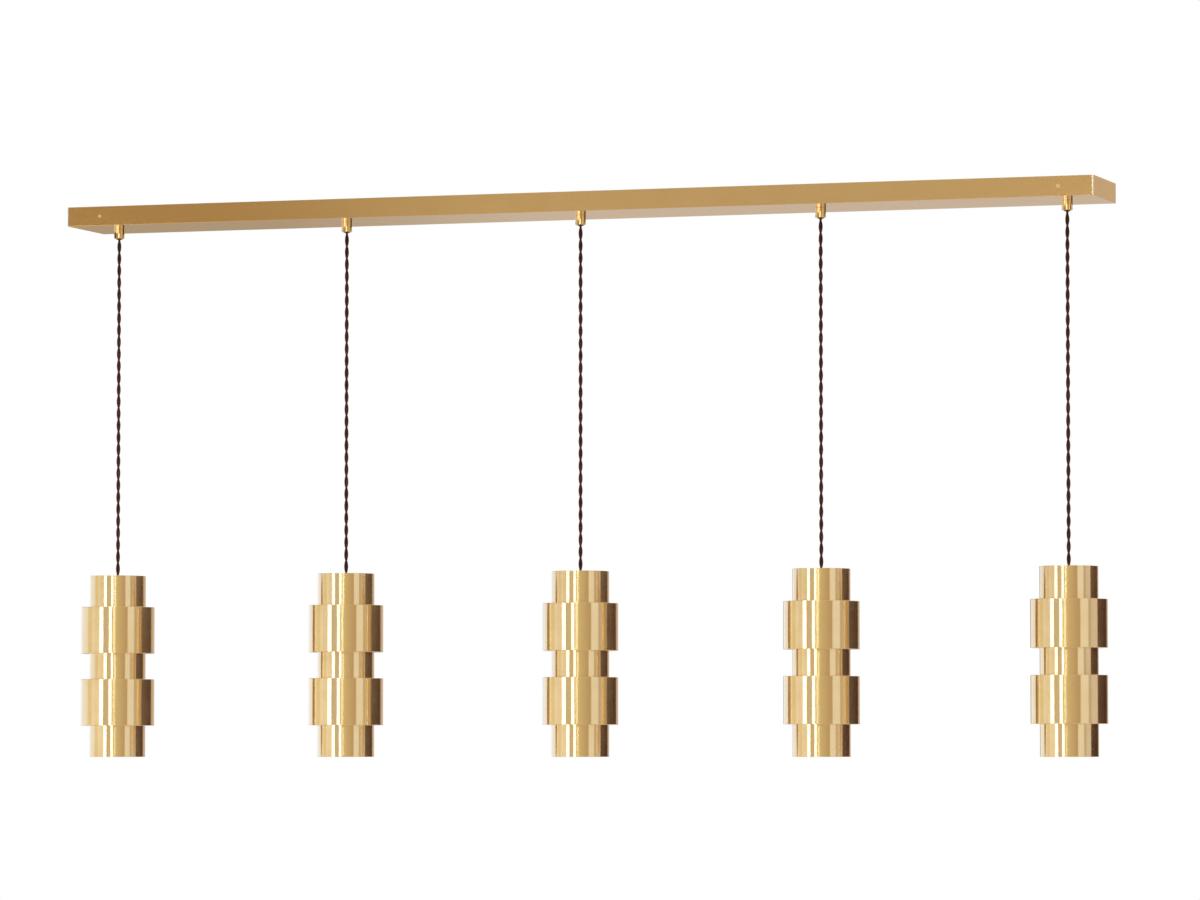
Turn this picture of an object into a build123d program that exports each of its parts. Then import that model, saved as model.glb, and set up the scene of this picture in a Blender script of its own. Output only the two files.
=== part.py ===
from build123d import *

import os
from math import cos, radians, sin, tan

# Linear island pendant: a long brass canopy on the ceiling, five glands in a row on its underside,
# a twisted flex through each gland, and a stepped brass cylinder shade with its lamp on each flex.
#
# Millimetres. The origin is the centre of the ceiling plane, which the canopy's rim meets. +X runs
# along the canopy, -Y faces the viewer and +Z is up, so the whole object hangs below Z = 0.

# ---- Canopy cover: a folded box, open towards the ceiling
canopy_length = 1430.0
canopy_width = 125.0
canopy_height = 26.0
cover_wall = 1.5
cover_corner_r = 2.0  # upright edges
cover_edge_r = 0.6  # edges round the underside

# ---- Pendants along the canopy
pendant_count = 5
gland_inset = 50.0  # canopy's end to the last gland
flex_drop = 461.0  # gland's mouth to the shade's rim

# ---- Ceiling bar: a shallow steel channel with a cross arm and two tabs at each end
bar_width = 60.0
bar_sheet = 1.5
bar_flange = 6.0  # height of the channel's flanges below its web
bar_end_gap = 7.5  # bar's end to the cover's end wall
tab_gap = 0.3  # tab to the cover's side wall
tab_width = 24.0
tab_below_screw = 8.0  # side screw's axis to the tab's end
fixing_spacing_outer = 1200.0
fixing_spacing_inner = 400.0
fixing_hole_r = 2.75
entry_x = -170.0  # hole for the house cable
entry_r = 10.0

# ---- Side screws: countersunk, through the cover into the tabs
side_screw_inset = 47.0
side_screw_r = 1.5
side_screw_head_r = 2.75
side_screw_length = 8.0
hex_key_r = 1.0
hex_key_depth = 1.1
screw_hole_gap = 0.2
screw_sink_gap = 0.1

# ---- Glands, their nuts and the flex in them
gland_r = 7.0
gland_height = 13.0
gland_chamfer = 1.2
thread_r = 5.0  # M10 x 1, on the glands and the stems
thread_fit = 0.05
small_thread_fit = 0.05  # M3 and M4 threads
thread_hole_gap = 0.25
spigot_rise = 4.5  # gland's thread above the cover's floor
nut_flats = 14.0
nut_height = 3.0
flex_r = 2.7
flex_bore_gap = 0.3

# ---- Swing of a pendant at its gland
swing_across = 45.0  # degrees each way, across the canopy
swing_along = 9.0  # degrees each way, along the canopy
bush_half_height = 1.0
bush_wall = 1.0
bush_flex_gap = 0.1
bush_gland_gap = 0.3

# ---- Flex tails and terminals inside the canopy
tail_level = -9.5
tail_entry_depth = 4.0
tail_bend_in_bore = 0.9  # how far down in a gland's bore its tail may begin to bend
terminal_x = -110.0
terminal_length = 60.0
terminal_side_wall = 0.7  # outside the outer ports
terminal_port_wall = 0.4  # between the three ports on the right
terminal_height = 16.0
terminal_corner_r = 1.0
terminal_port_gap = 0.6
terminal_port_depth = 9.0
left_port_pitch = 10.0  # between the two ports on the left
terminal_pitch = 12.0  # from one clamp screw to the next
clamp_row_y = 5.5
clamp_count = 4
clamp_well_r = 2.4
clamp_well_depth = 3.5
clamp_screw_r = 1.5
clamp_head_r = 2.1
clamp_head_height = 1.6
clamp_screw_length = 6.0
driver_slot = 0.6
earth_x = -45.0
earth_y = -20.0
earth_r = 2.0
earth_stud_length = 10.0
earth_washer_r = 4.5
earth_washer_height = 0.8
earth_nut_flats = 7.0
earth_nut_height = 3.2
earth_washer_gap = 0.2

# ---- Shade: a core tube with two wide rings round it
core_r = 38.0
core_wall = 1.2
core_height = 246.0
core_rim_chamfer = 0.3
ring_r = 50.0
ring_wall = 1.2
ring_inset = 42.5  # core's end to the nearer ring
ring_gap = 35.0  # between the two rings
ring_edge_r = 0.5
solder_gap = 0.05

# ---- Top plate, cord grip and stem inside the core tube
plate_recess = 16.0
plate_thickness = 1.5
grip_r = 7.0
grip_height = 13.0
grip_socket_depth = 7.0
grip_chamfer = 1.0
grip_flex_fit = 0.05
grip_screw_r = 1.5
stem_bore_r = 3.5
stem_length = 119.0
stem_in_holder = 6.0

# ---- Lampholder and lamp
holder_r = 17.0
holder_height = 28.0
holder_boss_r = 9.0
holder_boss_height = 8.0
holder_edge = 1.5
holder_cavity_height = 6.0
holder_face = 2.0
stud_circle_r = 5.0
stud_r = 1.6
stud_head_r = 2.5
stud_head_height = 2.0
stud_gap = 0.3
stud_cavity_gap = 0.4
lamp_twist = 20.0  # degrees to unlock
lamp_gap = 0.3
lamp_base_r = 13.0
lamp_base_height = 15.0
lamp_shoulder_height = 29.0
lamp_r = 25.0
lamp_rim_height = 7.0
lamp_lens_r = 22.0
lamp_lens_sink = 0.8

# ---- Places that follow from the sizes above
gland_pitch = (canopy_length - 2 * gland_inset) / (pendant_count - 1)
gland_xs = [-canopy_length / 2 + gland_inset + i * gland_pitch for i in range(pendant_count)]
floor_z = -canopy_height + cover_wall
pivot_z = -canopy_height - gland_height
spigot_top_z = floor_z + spigot_rise
web_z = -bar_sheet
tab_y = canopy_width / 2 - cover_wall - tab_gap
side_screw_x = canopy_length / 2 - side_screw_inset
side_screw_z = -canopy_height / 2
bush_bore_r = (
    flex_r / cos(radians(swing_along))
    + bush_half_height * tan(radians(swing_along))
    + bush_flex_gap
)
bush_r = bush_bore_r + bush_wall
tail_start_z = pivot_z + bush_r + bush_gland_gap
rim_z = pivot_z - flex_drop
plate_z = rim_z - plate_recess
stem_top_z = plate_z + grip_socket_depth
stem_bottom_z = stem_top_z - stem_length
holder_z = stem_bottom_z + stem_in_holder
holder_face_z = holder_z - holder_height
cavity_top_z = holder_face_z + holder_face + holder_cavity_height
flex_end_z = stem_bottom_z - flex_bore_gap
lamp_z = holder_face_z - lamp_gap
lamp_height = lamp_base_height + lamp_shoulder_height + lamp_rim_height
core_end_z = rim_z - core_height
ring_height = (core_height - 2 * ring_inset - ring_gap) / 2
port_r = flex_r + terminal_port_gap
right_port_pitch = 2 * port_r + terminal_port_wall
terminal_width = 2 * (right_port_pitch + port_r + terminal_side_wall)


def upright(x):
    """The plane through a pendant's axis: local X along the canopy and local Y up."""
    return Plane(origin=(x, 0, 0), x_dir=(1, 0, 0), z_dir=(0, -1, 0))


def axis_at(x):
    """A pendant's own upright axis."""
    return Axis((x, 0, 0), (0, 0, 1))


def level(x, z, y=0.0):
    """The horizontal plane at height z, centred over (x, y)."""
    return Plane(origin=(x, y, z))


def save(piece, name):
    """Labels a finished piece and writes its file."""
    piece.part.label = name
    export_step(piece.part, f"parts/{name}.step")


def tail_routes():
    """The centreline of each flex's tail, from inside its gland to its port in the terminal block.

    Each tail rises from the gland, turns towards the block under the bar's web, and passes the
    glands between by one long easy bow, so that it lies clear of the other tails. A bow's points
    are shares of the way from gland to port, with their distance from the canopy's middle line.
    """
    left = terminal_x - terminal_length / 2 + tail_entry_depth
    right = terminal_x + terminal_length / 2 - tail_entry_depth
    bows = [
        [(0.104, -6), (0.236, -11.5), (0.388, -15), (0.539, -16.5), (0.69, -16), (0.832, -13),
         (0.936, -8.6)],
        [(0.216, 1.2), (0.496, 3.9), (0.827, 5.3)],
        [(0.31, -4.4), (0.571, -6.6)],
        [(0.126, 5), (0.306, 10.2), (0.486, 12.6), (0.654, 11.6), (0.798, 8), (0.906, 2.6)],
        [(0.073, 7), (0.167, 14), (0.274, 19.3), (0.381, 22), (0.487, 22.7), (0.594, 22.2),
         (0.701, 20.6), (0.801, 17.8), (0.881, 14), (0.944, 10)],
    ]
    ports = [(left, -left_port_pitch / 2), (left, left_port_pitch / 2)]
    ports += [(right, row * right_port_pitch) for row in (-1, 0, 1)]
    routes = []
    for x, bow, (port_x, port_y) in zip(gland_xs, bows, ports):
        bend = [(x + share * (port_x - x), y, tail_level) for share, y in bow]
        start = [(x, 0.0, tail_start_z), (x, 0.0, tail_level)]
        routes.append([*start, *bend, (port_x, port_y, tail_level)])
    return routes


def corner_radii(points):
    """An easy radius for each inner corner of a tail's route, from its two runs and its turn.

    The first bend begins at the top of the gland, so that the tail stays clear of the bore.
    """
    radii = []
    for before, corner, after in zip(points, points[1:], points[2:]):
        run_in = Vector(*corner) - Vector(*before)
        run_out = Vector(*after) - Vector(*corner)
        turn = run_in.get_angle(run_out)
        radii.append(0.45 * min(run_in.length, run_out.length) / tan(radians(turn / 2)))
    radii[0] = min(radii[0], tail_level - spigot_top_z + tail_bend_in_bore)
    return radii


def make_canopy_cover():
    """The folded brass box, with its gland holes and its countersunk side holes."""
    with BuildPart() as cover:
        with BuildSketch(level(0, -canopy_height)):
            RectangleRounded(canopy_length, canopy_width, cover_corner_r)
        extrude(amount=canopy_height)
        fillet(cover.faces().sort_by(Axis.Z)[0].edges(), radius=cover_edge_r)
        with BuildSketch(level(0, floor_z)):
            Rectangle(canopy_length - 2 * cover_wall, canopy_width - 2 * cover_wall)
        extrude(amount=-floor_z, mode=Mode.SUBTRACT)
        with BuildSketch(level(0, -canopy_height)):
            with Locations([(x, 0) for x in gland_xs]):
                Circle(thread_r + thread_hole_gap)
        extrude(amount=cover_wall, mode=Mode.SUBTRACT)
        for side in (-1, 1):
            wall_face = Plane(
                origin=(0, side * canopy_width / 2, side_screw_z), x_dir=(1, 0, 0), z_dir=(0, side, 0)
            )
            with Locations(wall_face):
                with Locations((-side_screw_x, 0), (side_screw_x, 0)):
                    CounterSinkHole(
                        side_screw_r + screw_hole_gap,
                        side_screw_head_r + screw_sink_gap,
                        2 * cover_wall,
                        counter_sink_angle=90,
                    )
    save(cover, "canopy_cover")


def make_ceiling_bar():
    """The steel channel against the ceiling, with the cross arms that carry the cover."""
    bar_length = canopy_length - 2 * (cover_wall + bar_end_gap)
    with BuildPart() as bar:
        with BuildSketch(level(0, web_z)):
            Rectangle(bar_length, bar_width)
            with Locations((-side_screw_x, 0), (side_screw_x, 0)):
                Rectangle(tab_width, 2 * tab_y)
        extrude(amount=bar_sheet)
        with BuildSketch(level(0, web_z)):
            with Locations((0, (bar_width - bar_sheet) / 2), (0, -(bar_width - bar_sheet) / 2)):
                Rectangle(bar_length, bar_sheet)
        extrude(amount=-bar_flange)
        with BuildSketch(level(0, web_z)):
            for arm_x in (-side_screw_x, side_screw_x):
                with Locations((arm_x, tab_y - bar_sheet / 2), (arm_x, -tab_y + bar_sheet / 2)):
                    Rectangle(tab_width, bar_sheet)
        extrude(amount=side_screw_z - tab_below_screw - web_z)
        with BuildSketch(level(0, web_z)):
            for spacing in (fixing_spacing_outer, fixing_spacing_inner):
                with Locations((-spacing / 2, 0), (spacing / 2, 0)):
                    Circle(fixing_hole_r)
            with Locations((entry_x, 0)):
                Circle(entry_r)
        extrude(amount=bar_sheet, mode=Mode.SUBTRACT)
        with BuildSketch(Plane(origin=(0, -canopy_width, side_screw_z), x_dir=(1, 0, 0), z_dir=(0, 1, 0))):
            with Locations((-side_screw_x, 0), (side_screw_x, 0)):
                Circle(side_screw_r + small_thread_fit)
        extrude(amount=2 * canopy_width, mode=Mode.SUBTRACT)
    save(bar, "ceiling_bar")


def make_side_screws():
    """Four countersunk screws, flush with the cover's long sides."""
    with BuildPart() as screws:
        for side in (-1, 1):
            for screw_x in (-side_screw_x, side_screw_x):
                inward = Plane(
                    origin=(screw_x, side * canopy_width / 2, side_screw_z),
                    x_dir=(1, 0, 0),
                    z_dir=(0, -side, 0),
                )
                head_depth = side_screw_head_r - side_screw_r
                with BuildSketch(inward):
                    Circle(side_screw_head_r)
                extrude(amount=head_depth, taper=45)
                with BuildSketch(inward):
                    Circle(side_screw_r)
                extrude(amount=side_screw_length)
                with BuildSketch(inward):
                    RegularPolygon(hex_key_r, 6, major_radius=False)
                extrude(amount=hex_key_depth, mode=Mode.SUBTRACT)
    save(screws, "side_screws")


def gland_profile():
    """Half of a gland's section, from its flex bore outwards, with the round mouth cut later."""
    bore = flex_r + flex_bore_gap
    return [
        (bore, pivot_z),
        (gland_r - gland_chamfer, pivot_z),
        (gland_r, pivot_z + gland_chamfer),
        (gland_r, -canopy_height),
        (thread_r, -canopy_height),
        (thread_r, spigot_top_z),
        (bore, spigot_top_z),
    ]


def make_cord_glands():
    """Five glands: a collar under the canopy, a thread through its floor and a round mouth."""
    with BuildPart() as glands:
        for x in gland_xs:
            with BuildSketch(upright(x)):
                with BuildLine():
                    Polyline(gland_profile(), close=True)
                make_face()
            revolve(axis=axis_at(x))
        with Locations([(x, 0, pivot_z) for x in gland_xs]):
            Sphere(bush_r + bush_gland_gap, mode=Mode.SUBTRACT)
    save(glands, "cord_glands")


def make_gland_nuts():
    """Five hexagon nuts that clamp the glands on the cover's floor."""
    with BuildPart() as nuts:
        with BuildSketch(level(0, floor_z)):
            with Locations([(x, 0) for x in gland_xs]):
                RegularPolygon(nut_flats / 2, 6, major_radius=False)
                Circle(thread_r + thread_fit, mode=Mode.SUBTRACT)
        extrude(amount=nut_height)
    save(nuts, "gland_nuts")


def make_flex_tails():
    """The five stretches of flex inside the canopy, each one plain tube."""
    with BuildPart() as tails:
        for number, points in enumerate(tail_routes(), start=1):
            radii = corner_radii(points)
            with BuildLine() as route:
                FilletPolyline(*points, radius=radii)
            with BuildSketch(level(points[0][0], points[0][2])) as section:
                Circle(flex_r)
            sweep(sections=section.sketch, path=route.wire())
            print(f"tail {number}: length {route.wire().length:.1f}, radii", [round(r, 1) for r in radii])
    save(tails, "flex_tails")


def terminal_screw_places():
    """The clamp screws' centres on the terminal block's underside."""
    first = terminal_x - (clamp_count - 1) * terminal_pitch / 2
    return [(first + i * terminal_pitch, y) for i in range(clamp_count) for y in (-clamp_row_y, clamp_row_y)]


def make_terminal_block():
    """The block that joins the tails to the house cable, with its ports and clamp-screw wells."""
    bottom = web_z - terminal_height
    with BuildPart() as block:
        with BuildSketch(level(terminal_x, bottom)):
            RectangleRounded(terminal_length, terminal_width, terminal_corner_r)
        extrude(amount=terminal_height)
        for route in tail_routes():
            port = route[-1]
            outward = 1 if port[0] > terminal_x else -1
            mouth = Plane(
                origin=(terminal_x + outward * terminal_length / 2, port[1], tail_level),
                x_dir=(0, 1, 0),
                z_dir=(outward, 0, 0),
            )
            with BuildSketch(mouth):
                Circle(port_r)
            extrude(amount=-terminal_port_depth, mode=Mode.SUBTRACT)
        with BuildSketch(level(0, bottom)):
            with Locations(terminal_screw_places()):
                Circle(clamp_well_r)
        extrude(amount=clamp_well_depth, mode=Mode.SUBTRACT)
        with BuildSketch(level(0, bottom)):
            with Locations(terminal_screw_places()):
                Circle(clamp_screw_r + small_thread_fit)
        extrude(amount=clamp_well_depth - clamp_head_height + clamp_screw_length, mode=Mode.SUBTRACT)
    save(block, "terminal_block")


def make_terminal_screws():
    """The slotted clamp screws, their heads down in the block's wells."""
    head_z = web_z - terminal_height + clamp_well_depth - clamp_head_height
    with BuildPart() as screws:
        with BuildSketch(level(0, head_z)):
            with Locations(terminal_screw_places()):
                Circle(clamp_head_r)
        extrude(amount=clamp_head_height)
        with BuildSketch(level(0, head_z)):
            with Locations(terminal_screw_places()):
                Circle(clamp_screw_r)
        extrude(amount=clamp_screw_length)
        with BuildSketch(level(0, head_z)):
            with Locations(terminal_screw_places()):
                Rectangle(2 * clamp_head_r, driver_slot)
        extrude(amount=driver_slot, mode=Mode.SUBTRACT)
    save(screws, "terminal_screws")


def make_earth_fixing():
    """The earth stud under the bar, with its washer and nut."""
    washer_z = web_z - earth_washer_height
    with BuildPart() as stud:
        with BuildSketch(level(earth_x, web_z, earth_y)):
            Circle(earth_r)
        extrude(amount=-earth_stud_length)
    with BuildPart() as washer:
        with BuildSketch(level(earth_x, web_z, earth_y)):
            Circle(earth_washer_r)
            Circle(earth_r + earth_washer_gap, mode=Mode.SUBTRACT)
        extrude(amount=-earth_washer_height)
    with BuildPart() as nut:
        with BuildSketch(level(earth_x, washer_z, earth_y)):
            RegularPolygon(earth_nut_flats / 2, 6, major_radius=False)
            Circle(earth_r + small_thread_fit, mode=Mode.SUBTRACT)
        extrude(amount=-earth_nut_height)
    fixing = Compound(children=[stud.part, washer.part, nut.part], label="earth_fixing")
    export_step(fixing, "parts/earth_fixing.step")


def make_flex_bush(x, name):
    """The round-backed nylon bush in a gland's mouth, on which the pendant swings."""
    with BuildPart() as bush:
        with Locations((x, 0, pivot_z)):
            Sphere(bush_r)
            Box(3 * bush_r, 3 * bush_r, 2 * bush_half_height, mode=Mode.INTERSECT)
            Cylinder(bush_bore_r, 4 * bush_r, mode=Mode.SUBTRACT)
    save(bush, name)


def make_flex(x, name):
    """The hanging flex, straight under its load, from the gland's mouth to the lampholder."""
    with BuildPart() as flex:
        with BuildSketch(level(x, pivot_z)):
            Circle(flex_r)
        extrude(amount=flex_end_z - pivot_z)
        with Locations((x, 0, pivot_z)):
            Sphere(flex_r)
    save(flex, name)


def make_cord_grip(x, name):
    """The brass cord grip on top of the stem, with its side screw."""
    with BuildPart() as grip:
        with BuildSketch(level(x, plate_z)):
            Circle(grip_r)
        extrude(amount=grip_height)
        chamfer(grip.faces().sort_by(Axis.Z)[-1].edges(), length=grip_chamfer)
        with BuildSketch(level(x, plate_z)):
            Circle(thread_r + thread_fit)
        extrude(amount=grip_socket_depth, mode=Mode.SUBTRACT)
        with BuildSketch(level(x, plate_z)):
            Circle(flex_r + grip_flex_fit)
        extrude(amount=grip_height, mode=Mode.SUBTRACT)
        with BuildSketch(grip_screw_plane(x)):
            Circle(grip_screw_r + small_thread_fit)
        extrude(amount=-grip_r, mode=Mode.SUBTRACT)
    with BuildPart() as screw:
        with BuildSketch(grip_screw_plane(x)):
            Circle(grip_screw_r)
        extrude(amount=-(grip_r - flex_r - 2 * grip_flex_fit))
        with BuildSketch(grip_screw_plane(x)):
            Rectangle(2 * grip_screw_r, driver_slot)
        extrude(amount=-driver_slot, mode=Mode.SUBTRACT)
    pair = Compound(children=[grip.part, screw.part], label=name)
    export_step(pair, f"parts/{name}.step")


def grip_screw_plane(x):
    """The flat across a grip's side screw, at the grip's surface, facing away from the flex."""
    middle_z = plate_z + (grip_socket_depth + grip_height) / 2
    return Plane(origin=(x, grip_r, middle_z), x_dir=(1, 0, 0), z_dir=(0, 1, 0))


def make_stem(x, name):
    """The threaded tube from the grip to the lampholder, with a nut at the plate and the holder."""
    with BuildPart() as stem:
        with BuildSketch(level(x, stem_bottom_z)):
            Circle(thread_r)
            Circle(stem_bore_r, mode=Mode.SUBTRACT)
        extrude(amount=stem_length)
    with BuildPart() as nuts:
        for nut_z in (plate_z - plate_thickness - nut_height, holder_z):
            with BuildSketch(level(x, nut_z)):
                RegularPolygon(nut_flats / 2, 6, major_radius=False)
                Circle(thread_r + thread_fit, mode=Mode.SUBTRACT)
            extrude(amount=nut_height)
    group = Compound(children=[stem.part, *nuts.solids()], label=name)
    export_step(group, f"parts/{name}.step")


def make_top_plate(x, name):
    """The disc soldered inside the core tube, which hangs the shade on the stem."""
    with BuildPart() as plate:
        with BuildSketch(level(x, plate_z)):
            Circle(core_r - core_wall - solder_gap)
            Circle(thread_r + thread_hole_gap, mode=Mode.SUBTRACT)
        extrude(amount=-plate_thickness)
    save(plate, name)


def make_core_tube(x, name):
    """The shade's core: a plain tube, open at both ends."""
    with BuildPart() as tube:
        with BuildSketch(level(x, rim_z)):
            Circle(core_r)
        extrude(amount=-core_height)
        chamfer(tube.edges().filter_by(GeomType.CIRCLE), length=core_rim_chamfer)
        with BuildSketch(level(x, rim_z)):
            Circle(core_r - core_wall)
        extrude(amount=-core_height, mode=Mode.SUBTRACT)
    save(tube, name)


def make_ring(x, top_z, name):
    """A wide ring round the core: a drum whose flat ends reach in to the core tube."""
    with BuildPart() as ring:
        with BuildSketch(level(x, top_z)):
            Circle(ring_r)
        extrude(amount=-ring_height)
        fillet(ring.edges().filter_by(GeomType.CIRCLE), radius=ring_edge_r)
        with BuildSketch(level(x, top_z)):
            Circle(core_r + solder_gap)
        extrude(amount=-ring_height, mode=Mode.SUBTRACT)
        with BuildSketch(level(x, top_z - ring_wall)):
            Circle(ring_r - ring_wall)
            Circle(core_r, mode=Mode.SUBTRACT)
        extrude(amount=-(ring_height - 2 * ring_wall), mode=Mode.SUBTRACT)
    save(ring, name)


def stud_slots(angle):
    """Draws one stud's twist-lock slot, from its locked place at this angle to its entry hole."""
    path = Edge.make_circle(stud_circle_r, start_angle=angle, end_angle=angle + lamp_twist)
    SlotArc(path, 2 * (stud_r + stud_gap))
    entry = radians(angle + lamp_twist)
    with Locations((stud_circle_r * cos(entry), stud_circle_r * sin(entry))):
        Circle(stud_head_r + stud_gap)


def make_lampholder(x, name):
    """The twist-lock lampholder, with its threaded boss above and two stud slots below."""
    with BuildPart() as holder:
        with BuildSketch(level(x, holder_face_z)):
            Circle(holder_r)
        extrude(amount=holder_height - holder_boss_height)
        chamfer(holder.faces().sort_by(Axis.Z)[-1].edges(), length=holder_edge)
        with BuildSketch(level(x, holder_z)):
            Circle(holder_boss_r)
        extrude(amount=-holder_boss_height)
        with BuildSketch(level(x, holder_z)):
            Circle(thread_r + thread_fit)
        extrude(amount=-stem_in_holder, mode=Mode.SUBTRACT)
        with BuildSketch(level(x, holder_z)):
            Circle(stem_bore_r)
        extrude(amount=cavity_top_z - holder_z, mode=Mode.SUBTRACT)
        with BuildSketch(level(x, cavity_top_z)):
            Circle(stud_circle_r + stud_head_r + stud_cavity_gap)
        extrude(amount=-holder_cavity_height, mode=Mode.SUBTRACT)
        with BuildSketch(level(x, holder_face_z)):
            for angle in (0, 180):
                stud_slots(angle)
        extrude(amount=holder_face, mode=Mode.SUBTRACT)
    save(holder, name)


def lamp_profile():
    """Half of the lamp's section from its base down, with the lens set in under the rim."""
    shoulder_z = lamp_z - lamp_base_height
    rim_top_z = shoulder_z - lamp_shoulder_height
    face_z = lamp_z - lamp_height
    return [
        (0, lamp_z),
        (lamp_base_r, lamp_z),
        (lamp_base_r, shoulder_z),
        (lamp_r, rim_top_z),
        (lamp_r, face_z),
        (lamp_lens_r, face_z),
        (lamp_lens_r, face_z + lamp_lens_sink),
        (0, face_z + lamp_lens_sink),
    ]


def make_bulb(x, name):
    """The reflector lamp, hung by two headed studs in the lampholder's slots."""
    with BuildPart() as bulb:
        with BuildSketch(upright(x)):
            with BuildLine():
                Polyline(lamp_profile(), close=True)
            make_face()
        revolve(axis=axis_at(x))
        shank = lamp_gap + holder_face + stud_gap
        with BuildSketch(level(x, lamp_z)):
            with Locations((-stud_circle_r, 0), (stud_circle_r, 0)):
                Circle(stud_r)
        extrude(amount=shank)
        with BuildSketch(level(x, lamp_z + shank)):
            with Locations((-stud_circle_r, 0), (stud_circle_r, 0)):
                Circle(stud_head_r)
        extrude(amount=stud_head_height)
    save(bulb, name)


def make_pendant(number, x):
    """Every piece of one pendant, from the bush in its gland to its lamp."""
    make_flex_bush(x, f"flex_bush_{number}")
    make_flex(x, f"flex_{number}")
    make_cord_grip(x, f"cord_grip_{number}")
    make_stem(x, f"stem_{number}")
    make_top_plate(x, f"top_plate_{number}")
    make_core_tube(x, f"core_tube_{number}")
    make_ring(x, rim_z - ring_inset, f"upper_ring_{number}")
    make_ring(x, core_end_z + ring_inset + ring_height, f"lower_ring_{number}")
    make_lampholder(x, f"lampholder_{number}")
    make_bulb(x, f"bulb_{number}")


os.makedirs("parts", exist_ok=True)
make_canopy_cover()
make_ceiling_bar()
make_side_screws()
make_cord_glands()
make_gland_nuts()
make_flex_tails()
make_terminal_block()
make_terminal_screws()
make_earth_fixing()
for pendant, pendant_x in enumerate(gland_xs, start=1):
    make_pendant(pendant, pendant_x)
print(f"gland pitch {gland_pitch:.1f}, pivot z {pivot_z:.1f}, rim z {rim_z:.1f}, end z {core_end_z:.1f}")
swing_room = (bush_r + bush_gland_gap) * cos(radians(swing_across)) - flex_r
print(f"bush bore {bush_bore_r:.3f}, bush r {bush_r:.3f}, flex to mouth at full swing {swing_room:.2f}")
print(f"lamp face z {lamp_z - lamp_height:.1f}")
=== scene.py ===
"""Looks of a linear island pendant: a brass box canopy, and five stepped brass shades on twisted flexes.

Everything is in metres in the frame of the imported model: +X along the canopy, -Y towards the viewer, +Z up
into the ceiling. The sizes repeat those of the model's source.
"""

import logging
import math
from collections.abc import Callable, Mapping, Sequence
from dataclasses import dataclass, field
from enum import Enum
from functools import cache, partial

import bmesh
import bpy
import numpy as np
from bpy.types import ID, Material, Mesh, MeshPolygon, Node, NodeSocket, NodeTree, Object
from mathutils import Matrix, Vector


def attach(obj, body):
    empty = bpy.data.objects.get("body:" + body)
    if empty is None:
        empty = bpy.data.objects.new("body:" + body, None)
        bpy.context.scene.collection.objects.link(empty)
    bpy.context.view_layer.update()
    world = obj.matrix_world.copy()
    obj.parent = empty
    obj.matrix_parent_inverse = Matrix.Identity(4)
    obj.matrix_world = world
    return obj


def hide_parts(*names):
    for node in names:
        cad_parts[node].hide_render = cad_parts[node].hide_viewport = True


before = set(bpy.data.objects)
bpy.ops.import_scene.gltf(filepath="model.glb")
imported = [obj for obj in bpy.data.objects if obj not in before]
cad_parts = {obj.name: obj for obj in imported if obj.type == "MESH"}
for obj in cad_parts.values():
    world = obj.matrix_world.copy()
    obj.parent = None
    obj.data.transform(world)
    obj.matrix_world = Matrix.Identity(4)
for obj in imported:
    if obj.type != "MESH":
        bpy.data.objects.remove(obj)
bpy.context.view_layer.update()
log = logging.getLogger("island_pendant")

MM = 0.001
PENDANT_XS = tuple(x * MM for x in (-665.0, -332.5, 0.0, 332.5, 665.0))
CAMERA_SIDE = math.radians(18.6)  # the viewer's direction from the canopy's middle, from -Y towards +X
WHITE = (1.0, 1.0, 1.0, 1.0)
NYLON_IOR = 1.53
POLYCARBONATE_IOR = 1.58
ACROSS_LINES = 0.25  # a quarter turn, so that gloss smears across a metal's lines
ON_AXIS = 1e-7  # a length, in metres, that is as good as none


class Grain(Enum):
    """Which way a metal's fine lines run, and so where its gloss smears."""

    TURNED = "round the piece, from its own UV map"
    TURNED_ABOUT_MIDDLE = "round the piece's middle"
    BRUSHED_ALONG = "along the canopy, from its own UV map"
    NONE = "no lines"


class Easing(Enum):
    """How a turned corner is finished."""

    ROUND = "rounded over"
    CHAMFER = "cut off at 45 degrees"


def linear(hex_colour: str, gain: float = 1.0) -> tuple[float, float, float, float]:
    """Turns an sRGB colour into the linear one that shaders take.

    Args:
        hex_colour: The colour as written, such as "#E6C68C".
        gain: How many times brighter than written it is.

    Returns:
        The linear red, green, blue and alpha.
    """
    parts = [int(hex_colour[i : i + 2], 16) / 255 for i in (1, 3, 5)]
    r, g, b = (p / 12.92 if p <= 0.04045 else ((p + 0.055) / 1.055) ** 2.4 for p in parts)
    return (r * gain, g * gain, b * gain, 1.0)


def feed(node: Node, inputs: Mapping[str | int, object]) -> None:
    """Sets a node's inputs.

    Args:
        node: The node.
        inputs: For each named or numbered input a value, an output to link, or a node, whose first
            output is linked.
    """
    for key, value in inputs.items():
        source = value.outputs[0] if isinstance(value, Node) else value
        if isinstance(source, NodeSocket):
            node.id_data.links.new(source, node.inputs[key])
        else:
            node.inputs[key].default_value = source


def add_node(
    tree: NodeTree, kind: str, inputs: Mapping[str | int, object] | None = None, **settings: object
) -> Node:
    """Adds one node with its settings, values and links.

    Args:
        tree: The tree that the node goes in.
        kind: The node's type name, less the ShaderNode that most begin with.
        inputs: What its inputs take, as feed() does.
        settings: The node's own properties.

    Returns:
        The new node.
    """
    node = tree.nodes.new(kind if kind.startswith(("Geometry", "NodeGroup")) else f"ShaderNode{kind}")
    for name, value in settings.items():
        setattr(node, name, value)
    feed(node, inputs or {})
    return node


# ---- Finishes


@dataclass(frozen=True)
class Finish:
    """What a surface is made of."""

    name: str

    def dress(self, tree: NodeTree, shader: Node) -> None:
        """Builds the finish's nodes into the shader; each finish has its own."""
        raise NotImplementedError


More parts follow.
